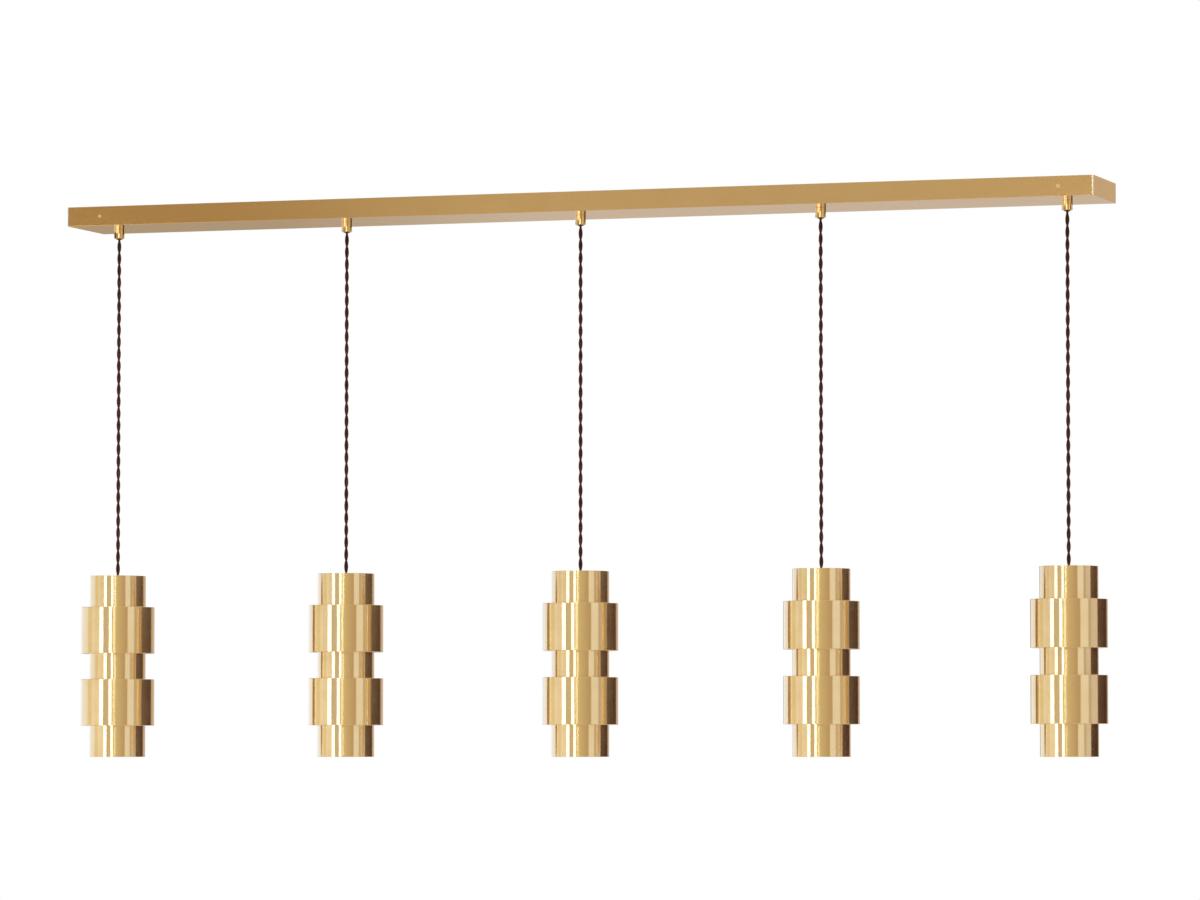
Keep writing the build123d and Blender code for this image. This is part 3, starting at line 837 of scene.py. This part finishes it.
@dataclass
class FlexSet:
    """The five hanging flexes and the five tails that lead from them to the terminal block."""

    mouth_z: float = -39.0
    tail_z: float = -34.7
    bend_z: float = -9.5
    grip_z: float = -516.0
    end_z: float = -628.3
    hanging_length: float = 0.589  # metres, as the tails' lengths are
    lean: float = 1.5  # how far a tail leans away from its port while it rises
    lead: float = 31.0  # how far from its gland a tail first lies level
    close: float = 36.0  # a bow that starts this close to the gland needs no such lead
    # Each tail's bow, as (share of the way, how far from the middle), then its port.
    bows: tuple[tuple[tuple[float, float], ...], ...] = (
        ((0.104, -6), (0.236, -11.5), (0.388, -15), (0.539, -16.5), (0.69, -16), (0.832, -13), (0.936, -8.6)),
        ((0.216, 1.2), (0.496, 3.9), (0.827, 5.3)),
        ((0.31, -4.4), (0.571, -6.6)),
        ((0.126, 5), (0.306, 10.2), (0.486, 12.6), (0.654, 11.6), (0.798, 8), (0.906, 2.6)),
        ((0.073, 7), (0.167, 14), (0.274, 19.3), (0.381, 22), (0.487, 22.7), (0.594, 22.2), (0.701, 20.6),
         (0.801, 17.8), (0.881, 14), (0.944, 10)),
    )
    ports: tuple[tuple[float, float], ...] = ((-136, -5), (-136, 5), (-84, -7), (-84, 0), (-84, 7))
    tail_lengths: tuple[float, ...] = (0.5504, 0.2169, 0.1048, 0.4378, 0.7708)

    def hanging(self, number: int) -> Flex:
        """Describes one pendant's flex, from its gland straight down to its lampholder."""
        x = PENDANT_XS[number - 1] / MM
        return Flex(
            name=f"twisted_flex_{number}",
            route=(
                (x, 0, self.mouth_z + 1.0), (x, 0, -200.0), (x, 0, -360.0), (x, 0, self.grip_z),
                (x, 0, self.end_z),
            ),
            length=self.hanging_length, body=f"hanging_flex_{number}", stands_for=(f"flex_{number}",),
            exit=(x, 0, self.mouth_z), phase=math.radians(25),
        )

    def tail(self, number: int) -> Flex:
        """Describes one tail, up out of its gland, over the bow and into its port."""
        x = PENDANT_XS[number - 1] / MM
        port_x, port_y = self.ports[number - 1]
        span = port_x - x
        bow = [(x + share * span, y, self.bend_z) for share, y in self.bows[number - 1]]
        away = math.copysign(self.lean, -span)
        near = (x + math.copysign(self.lead, span), bow[0][1] * self.lead / abs(bow[0][0] - x), self.bend_z)
        lead = [] if abs(bow[0][0] - x) < self.close else [near]
        return Flex(
            name=f"flex_tail_{number}",
            route=(
                (x, 0, self.tail_z), (x + away, 0, self.bend_z), *lead, *bow, (port_x, port_y, self.bend_z),
            ),
            length=self.tail_lengths[number - 1], body="canopy", stands_for=("flex_tails",),
            exit=(x, 0, self.tail_z), lay="loose", phase=math.pi / 2,
        )

    def build(self) -> None:
        """Makes all ten flexes."""
        for number in range(1, 6):
            self.hanging(number).build()
            self.tail(number).build()


# ---- Canopy


@dataclass
class Canopy:
    """The folded brass box, its glands and screws, and what is inside it."""

    gland: Lathe = field(
        default_factory=lambda: Lathe(
            (Corner(4.29, -39.0), Corner(4.1, -37.74), Corner(3.65, -36.75), Corner(3.0, -35.93),
             Corner(3.0, -20.0, 0.3), Corner(5.0, -20.0, 0.5, Easing.CHAMFER), Corner(5.0, -26.0),
             Corner(7.0, -26.0, 0.25), Corner(7.0, -39.0, 0.6, Easing.CHAMFER)),
            around=72,
        )
    )

    def cover(self) -> Object:
        """Makes the cover from a merged copy of its CAD shape, with a UV map that its brushing follows and
        its folds marked for a painted highlight.
        """
        shape = bmesh.new()
        shape.from_mesh(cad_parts["canopy_cover"].data)
        bmesh.ops.remove_doubles(shape, verts=shape.verts, dist=1e-6)
        bmesh.ops.dissolve_degenerate(shape, edges=shape.edges, dist=1e-7)
        layer = shape.loops.layers.uv.new("UVMap")
        fold = shape.loops.layers.float.new("fold")
        for face in shape.faces:
            out = [abs(v) for v in face.normal]
            for corner in face.loops:
                # A fold between two sides looks part way between them; its faces get the brass's painted
                # highlight.
                corner[fold] = 1.0 if min(out[:2]) > 0.05 and out[2] < 0.5 else 0.0
                x, y, z = corner.vert.co
                # The sheet is brushed along its length, and its end flaps along their own length.
                side = (x, z) if out[1] >= out[0] else (y, z)
                corner[layer].uv = (x, y) if out[2] > max(out[:2]) else side
        mesh = bpy.data.meshes.new("brass_cover")
        shape.to_mesh(mesh)
        shape.free()
        mesh.materials.clear()
        flat_faced(mesh)
        return seat("brass_cover", mesh, "canopy", SHEET_BRASS, ["canopy_cover"])

    def build(self) -> None:
        """Makes and dresses every piece of the canopy."""
        self.cover()
        seat(
            "turned_glands", self.gland.mesh("turned_glands", PENDANT_XS), "canopy",
            GLAND_BRASS, ["cord_glands"],
        )
        for node in ("side_screws", "gland_nuts"):
            refinish(node, MACHINED_BRASS)
        for node in ("ceiling_bar", "terminal_screws", "earth_fixing"):
            refinish(node, ZINC)
        refinish("terminal_block", WHITE_NYLON)
        for number in range(1, 6):
            refinish(f"flex_bush_{number}", BROWN_NYLON)


# ---- Shades

DOME = (0.55, 0.55, 0.2)  # half a lens dome's width each way, and its height, in pitches


@cache
def thread_tree() -> NodeTree:
    """Builds the tree that cuts a screw thread's ridge round an upright stem."""
    node, given, end = empty_tree(
        "stem_thread", ("Stem at", "Bottom", "Height", "Ridge radius", "Turns", "Ridge")
    )
    helix = node(
        "GeometryNodeCurveSpiral",
        {"Resolution": 16, "Rotations": given["Turns"], "Start Radius": given["Ridge radius"],
         "End Radius": given["Ridge radius"], "Height": given["Height"]},
    )
    section = node("GeometryNodeCurvePrimitiveCircle", {"Resolution": 5, "Radius": given["Ridge"]})
    ridge = node("GeometryNodeCurveToMesh", {"Curve": helix, "Profile Curve": section, "Fill Caps": True})
    place = node("CombineXYZ", {"X": given["Stem at"], "Z": given["Bottom"]})
    put = node("GeometryNodeTransform", {"Geometry": ridge, "Translation": place})
    return end(put)


@cache
def fins_tree() -> NodeTree:
    """Builds the tree that stands cooling fins round a lamp's cone."""
    node, given, end = empty_tree(
        "lamp_fins", ("Lamp at", "Top radius", "Bottom radius", "Top", "Bottom", "Fin"), ("Fins",)
    )
    top = node("CombineXYZ", {"X": given["Top radius"], "Z": given["Top"]})
    bottom = node("CombineXYZ", {"X": given["Bottom radius"], "Z": given["Bottom"]})
    spine = node("GeometryNodeCurvePrimitiveLine", {"Start": top, "End": bottom})
    section = node("GeometryNodeCurvePrimitiveCircle", {"Resolution": 8, "Radius": given["Fin"]})
    fin = node("GeometryNodeCurveToMesh", {"Curve": spine, "Profile Curve": section, "Fill Caps": True})
    places = node("GeometryNodePoints", {"Count": given["Fins"]})
    number = node("GeometryNodeInputIndex")
    share = node("Math", {0: number, 1: given["Fins"]}, operation="DIVIDE")
    angle = node("Math", {0: share, 1: math.tau}, operation="MULTIPLY")
    turned = node("CombineXYZ", {"Z": angle})
    ring = node("GeometryNodeInstanceOnPoints", {"Points": places, "Instance": fin, "Rotation": turned})
    at = node("CombineXYZ", {"X": given["Lamp at"]})
    put = node("GeometryNodeTransform", {"Geometry": ring, "Translation": at})
    return end(put)


@cache
def lenslets_tree() -> NodeTree:
    """Builds the tree that packs small domes over a lamp's lens."""
    node, given, end = empty_tree("lens_domes", ("Lamp at", "Lens", "Lens radius", "Pitch"), ("Across",))
    width = node("Math", {0: given["Across"], 1: 1.0}, operation="SUBTRACT")
    span = node("Math", {0: width, 1: given["Pitch"]}, operation="MULTIPLY")
    deep = node("Math", {0: span, 1: math.sqrt(3) / 2}, operation="MULTIPLY")
    grid = node(
        "GeometryNodeMeshGrid",
        {"Size X": span, "Size Y": deep, "Vertices X": given["Across"], "Vertices Y": given["Across"]},
    )
    number = node("GeometryNodeInputIndex")
    row = node("Math", {0: number, 1: 2.0}, operation="MODULO")
    shift = node("Math", {0: row, 1: given["Pitch"]}, operation="MULTIPLY")
    half = node("Math", {0: shift, 1: 0.5}, operation="MULTIPLY")
    slide = node("CombineXYZ", {"X": half})
    packed = node("GeometryNodeSetPosition", {"Geometry": grid, "Offset": slide})
    place = node("GeometryNodeInputPosition")
    far = node("VectorMath", {0: place}, operation="LENGTH")
    inside = node("Math", {0: far.outputs["Value"], 1: given["Lens radius"]}, operation="LESS_THAN")
    dome = node("GeometryNodeMeshUVSphere", {"Segments": 10, "Rings": 6, "Radius": 1.0})
    size = node("VectorMath", {0: DOME, "Scale": given["Pitch"]}, operation="SCALE")
    domes = node(
        "GeometryNodeInstanceOnPoints",
        {"Points": packed, "Selection": inside, "Instance": dome, "Scale": size},
    )
    at = node("CombineXYZ", {"X": given["Lamp at"], "Z": given["Lens"]})
    put = node("GeometryNodeTransform", {"Geometry": domes, "Translation": at})
    return end(put)


@dataclass
class Shade:
    """One stepped shade: a core tube with two wider rings, its fittings, lampholder and lamp."""

    number: int
    core: Lathe = field(
        default_factory=lambda: Lathe(
            (Corner(36.8, -746.0, 0.35), Corner(38.0, -746.0, 0.4), Corner(38.0, -500.0, 0.4),
             Corner(36.8, -500.0, 0.35))
        )
    )
    ring_tops: tuple[float, float] = (-542.5, -640.5)
    ring_height: float = 63.0
    ring_r: float = 50.0
    ring_wall: float = 1.2
    ring_edge: float = 0.55
    fit_r: float = 38.05
    thread_bottom: float = -619.0
    thread_length: float = 98.5
    thread_pitch: float = 1.0
    cone_top: float = -667.0
    cone_bottom: float = -692.8
    lens_z: float = -700.45

    @property
    def x(self) -> float:
        """Where along the canopy the pendant hangs, in metres."""
        return PENDANT_XS[self.number - 1]

    def ring(self, top: float) -> Lathe:
        """Describes a ring: a wall with two flat ends that reach in to the core tube.

        Args:
            top: The height of its upper end, in mm.

        Returns:
            Its lathe.
        """
        low, inner, t = top - self.ring_height, self.ring_r - self.ring_wall, self.ring_wall
        return Lathe(
            (Corner(self.fit_r, low), Corner(self.ring_r, low, self.ring_edge),
             Corner(self.ring_r, top, self.ring_edge), Corner(self.fit_r, top), Corner(self.fit_r, top - t),
             Corner(inner, top - t), Corner(inner, low + t), Corner(self.fit_r, low + t))
        )

    def grown(
        self, kind: str, tree: NodeTree, body: str, finish: Finish,
        sizes: Mapping[str, float | int],
    ) -> None:
        """Grows one added piece from nothing but its sizes, and seats it.

        Args:
            kind: The piece's name without the pendant's number.
            tree: The tree that makes it.
            body: Its body's name without the number.
            finish: What it is made of.
            sizes: A value for each of the tree's named inputs.
        """
        name = f"{kind}_{self.number}"
        mesh = grow(name, tree, bpy.data.meshes.new("none"), finish, sizes)
        seat(name, mesh, f"{body}_{self.number}", finish)

    def fittings(self) -> None:
        """Dresses the top plate, grip and stem, and cuts the stem's thread."""
        refinish(f"top_plate_{self.number}", SPUN_BRASS)
        refinish(f"cord_grip_{self.number}", MACHINED_BRASS)
        refinish(f"stem_{self.number}", MACHINED_BRASS)
        self.grown(
            "stem_thread", thread_tree(), "shade", MACHINED_BRASS,
            {"Stem at": self.x, "Bottom": self.thread_bottom * MM, "Height": self.thread_length * MM,
             "Ridge radius": 4.85 * MM, "Turns": self.thread_length / self.thread_pitch, "Ridge": 0.42 * MM},
        )

    def lamp(self) -> None:
        """Dresses the lampholder and the lamp, and gives the lamp its fins and lens."""
        refinish(f"lampholder_{self.number}", PORCELAIN)
        refinish(f"bulb_{self.number}", LAMP_PLASTIC)
        self.grown(
            "lamp_fins", fins_tree(), "lamp", LAMP_PLASTIC,
            {"Lamp at": self.x, "Fins": 24, "Top radius": 13.5 * MM, "Bottom radius": 24.2 * MM,
             "Top": self.cone_top * MM, "Bottom": self.cone_bottom * MM, "Fin": 0.75 * MM},
        )
        self.grown(
            "lamp_lens", lenslets_tree(), "lamp", LENS,
            {"Lamp at": self.x, "Lens": self.lens_z * MM, "Lens radius": 20.4 * MM, "Pitch": 3.1 * MM,
             "Across": 17},
        )

    def build(self) -> None:
        """Makes and dresses every piece of the shade."""
        upper, lower = (self.ring(top) for top in self.ring_tops)
        turned = (
            ("core", "core_tube", self.core),
            ("upper_ring", "upper_ring", upper),
            ("lower_ring", "lower_ring", lower),
        )
        for kind, node, lathe in turned:
            name, replaced = f"turned_{kind}_{self.number}", f"{node}_{self.number}"
            mesh = lathe.mesh(name, [self.x])
            seat(name, mesh, f"shade_{self.number}", TURNED_BRASS, [replaced])
        self.fittings()
        self.lamp()


# ---- Studio

# Heights in metres. The cards stand in a low row, which the shades mirror, and a high row, which the
# canopy and its glands mirror. The rows meet at one of two heights.
FLOOR_Z = -2.0
LOW_MEET = -0.1
HIGH_MEET = 0.35
STRIP_FOOT = 0.55  # where the high row's bright strip starts
CARD_TOP = 2.6
FLAT_DEG = 3.0  # about how wide one flat of a card's curve is


@dataclass(frozen=True)
class Card:
    """A curved card that stands round the object, which its metal mirrors.

    Its left and right edges are angles from the viewer, in degrees, as the object sees them.
    """

    name: str
    left: float
    right: float
    colour: str
    right_colour: str = ""  # where it changes towards the right
    gain: float = 1.0
    bottom: float = FLOOR_Z
    top: float = CARD_TOP


@dataclass
class Studio:
    """The camera, the pale floor, the plain soft light and the cards that metal needs."""

    lens: float = 175.76
    camera_place: tuple[float, float, float] = (2.4744, -7.3673, -0.7464)
    camera_yaw: float = 18.375
    camera_pitch: float = 3.002
    wall_r: float = 7.3
    soft_light: float = 0.8
    pale_r: float = 1.5  # how far out the floor's own pale paint reaches
    white_r: float = 4.5  # from here out it shows plain white
    lamp_aim: tuple[float, float, float] = (0.0, 0.0, -0.4)
    lamp_place: tuple[float, float, float] = (-1.6, -2.8, 3.2)
    lamp_width: float = 2.5
    lamp_watts: float = 30.0
    cards: tuple[Card, ...] = (
        Card("window_card", -164, -103, "#DFE8FC", gain=1.5, top=HIGH_MEET),
        Card("gold_card", -103, -86, "#F4ECCD", gain=1.15, top=HIGH_MEET),
        Card("white_card", -86, -57.5, "#FFFCF8", gain=1.2, top=LOW_MEET),
        Card("left_strip", -57.5, -47, "#F6F8FF", gain=5.2, top=LOW_MEET),
        Card("left_tan_card", -47, -27.2, "#DCD0BC", top=LOW_MEET),
        Card("right_strip", -27.2, -20.2, "#F6F8FF", gain=5.2, top=LOW_MEET),
        Card("cream_card", -20.2, -9, "#E0DCC2", "#E4DAB5", top=LOW_MEET),
        Card("high_dark_card", -164, -75, "#7A5A44", bottom=HIGH_MEET),
        Card("high_brown_card", -75, -43.5, "#B8ACA0", bottom=LOW_MEET),
        Card("high_turn_card", -43.5, -39.5, "#B8ACA0", "#DFE2EF", bottom=LOW_MEET),
        Card("high_grey_card", -39.5, -15, "#DFE2EF", "#CACDDB", bottom=LOW_MEET),
        Card("under_strip_card", -15, -9, "#CACDDB", "#C8CBD9", bottom=LOW_MEET, top=STRIP_FOOT),
        Card("high_strip", -15, -9, "#FFF6E6", gain=9.0, bottom=STRIP_FOOT),
        Card("tan_card", -9, 32.5, "#E4DAB5", "#C7AE8D"),
        Card("high_shade_card", 56, 87, "#A88C70", bottom=HIGH_MEET),
        Card("grey_card", 56, 65, "#D6CEC0", top=HIGH_MEET),
        Card("light_card", 65, 87, "#EEE8EC", top=HIGH_MEET),
        Card("dark_card", 87, 133, "#4C2B28", "#492D2B", top=HIGH_MEET),
        Card("dark_end_card", 133, 140, "#492D2B", "#482C2A", top=LOW_MEET),
        Card("high_gold_card", 87, 133, "#F0E2C4", bottom=HIGH_MEET),
        Card("back_card", 140, 168, "#CEB8A6", "#D9D2CF", top=LOW_MEET),
        Card("high_back_card", 133, 168, "#DBCEB8", bottom=LOW_MEET),
        Card("far_back_card", 168, 181, "#D4CABB"),
        Card("far_turn_card", 181, 186, "#D4CABB", "#B6A790"),
        Card("far_left_card", 186, 196, "#B6A790"),
    )

    def camera(self) -> None:
        """Stands the camera where the photograph was taken from."""
        camera = bpy.data.cameras.new("viewer")
        camera.sensor_fit, camera.sensor_width, camera.lens = "HORIZONTAL", 36.0, self.lens
        camera.clip_start, camera.clip_end = 0.1, 100.0
        viewer = add_object("viewer", camera)
        viewer.location = self.camera_place
        viewer.rotation_euler = (math.radians(90 + self.camera_pitch), 0.0, math.radians(self.camera_yaw))
        bpy.context.scene.camera = viewer

    def seen(self, tree: NodeTree) -> Node:
        """Tells where a surface shows: to the camera, in a mirror or through glass.

        Args:
            tree: The material's or world's tree.

        Returns:
            A node that gives 1 there and 0 elsewhere.
        """
        rays = add_node(tree, "LightPath").outputs
        plain = add_node(
            tree, "Math", {0: rays["Is Camera Ray"], 1: rays["Is Glossy Ray"]}, operation="MAXIMUM"
        )
        return add_node(tree, "Math", {0: plain, 1: rays["Is Transmission Ray"]}, operation="MAXIMUM")

    def world(self) -> None:
        """Makes the open space round the object white where it shows, and a plain soft light elsewhere."""
        world = bpy.data.worlds.new("open_studio")
        bpy.context.scene.world = world
        world.use_nodes = True
        tree = world.node_tree
        node = partial(add_node, tree)
        tree.nodes.clear()
        soft = node("Background", {"Color": WHITE, "Strength": self.soft_light})
        white = node("Background", {"Color": WHITE, "Strength": 1.0})
        either = node("MixShader", {0: self.seen(tree), 1: soft, 2: white})
        node("OutputWorld", {"Surface": either})

    def floor(self) -> None:
        """Lays the pale floor, plain white towards its rim, which doesn't hide the object from below."""
        rounds = 96
        reach = self.wall_r + 0.1  # a little past the cards
        angles = [math.tau * i / rounds for i in range(rounds)]
        points = [(reach * math.cos(angle), reach * math.sin(angle), FLOOR_Z) for angle in angles]
        mesh = bpy.data.meshes.new("floor")
        mesh.from_pydata(points, [], [tuple(range(rounds))])
        paint = bpy.data.materials.new("pale_floor_paint")
        paint.use_nodes = True
        tree = paint.node_tree
        shader = tree.nodes["Principled BSDF"]
        feed(shader, {"Base Color": linear("#E9E3DA"), "Roughness": 0.8})
        node = partial(add_node, tree)
        place = node("TexCoord").outputs
        flat = node("Mapping", {"Vector": place["Object"], "Scale": (1.0, 1.0, 0.0)})
        far = node("VectorMath", {0: flat}, operation="LENGTH")
        rim = node(
            "MapRange", {"Value": far.outputs["Value"], "From Min": self.pale_r, "From Max": self.white_r}
        )
        shown = node("Math", {0: rim, 1: self.seen(tree)}, operation="MULTIPLY")
        white = node("Emission", {"Color": WHITE, "Strength": 1.0})
        top = node("MixShader", {0: shown, 1: shader, 2: white})
        side = node("NewGeometry")
        clear = node("BsdfTransparent")
        mix = node("MixShader", {0: side.outputs["Backfacing"], 1: top, 2: clear})
        feed(tree.nodes["Material Output"], {"Surface": mix})
        mesh.materials.append(paint)
        self.stage("floor", mesh)

    def stage(self, name: str, mesh: Mesh) -> Object:
        """Adds a piece of the studio, which isn't part of the object."""
        thing = add_object(name, mesh)
        return thing

    def stand(self, card: Card, glow: Material) -> None:
        """Stands one card, which only reflections and soft light see.

        Args:
            card: The card.
            glow: The material that shows each card's own colour.
        """
        steps = max(2, round((card.right - card.left) / FLAT_DEG))
        points, colours = [], []
        ends = [np.array(linear(c, card.gain)[:3]) for c in (card.colour, card.right_colour or card.colour)]
        for i in range(steps + 1):
            share = i / steps
            angle = CAMERA_SIDE + math.radians(card.left + share * (card.right - card.left))
            x, y = self.wall_r * math.sin(angle), -self.wall_r * math.cos(angle)
            points += [(x, y, card.bottom), (x, y, card.top)]
            colours += [(*(ends[0] * (1 - share) + ends[1] * share), 1.0)] * 2
        mesh = bpy.data.meshes.new(card.name)
        mesh.from_pydata(points, [], [(2 * i, 2 * i + 1, 2 * i + 3, 2 * i + 2) for i in range(steps)])
        shade = mesh.color_attributes.new("shade", "FLOAT_COLOR", "POINT")
        shade.data.foreach_set("color", np.array(colours, np.float32).ravel())
        mesh.materials.append(glow)
        thing = self.stage(card.name, mesh)
        thing.visible_camera = False
        thing.visible_shadow = False

    def lights(self) -> None:
        """Hangs one large soft lamp above and in front, and stands the cards."""
        lamp = bpy.data.lights.new("soft_box", "AREA")
        lamp.shape, lamp.size, lamp.energy = "DISK", self.lamp_width, self.lamp_watts
        box = add_object("soft_box", lamp)
        box.location = self.lamp_place
        box.rotation_euler = (Vector(self.lamp_aim) - box.location).to_track_quat("-Z", "Y").to_euler()
        glow = bpy.data.materials.new("card_paper")
        glow.use_nodes = True
        tree = glow.node_tree
        tree.nodes.remove(tree.nodes["Principled BSDF"])
        node = partial(add_node, tree)
        shade = node("Attribute", attribute_name="shade")
        light = node("Emission", {"Color": shade, "Strength": 1.0})
        feed(tree.nodes["Material Output"], {"Surface": light})
        for card in self.cards:
            self.stand(card, glow)

    def build(self) -> None:
        """Sets up the whole studio."""
        bpy.context.scene.view_settings.view_transform = "Standard"
        self.camera()
        self.world()
        self.floor()
        self.lights()
        log.info("studio: %d cards", len(self.cards))


def main() -> None:
    """Builds the studio and the pendant, and notes how large the model has become."""
    logging.basicConfig(level=logging.INFO, format="%(name)s: %(message)s")
    Studio().build()
    FlexSet().build()
    Canopy().build()
    for number in range(1, 6):
        Shade(number).build()


if __name__ == "__main__":
    main()
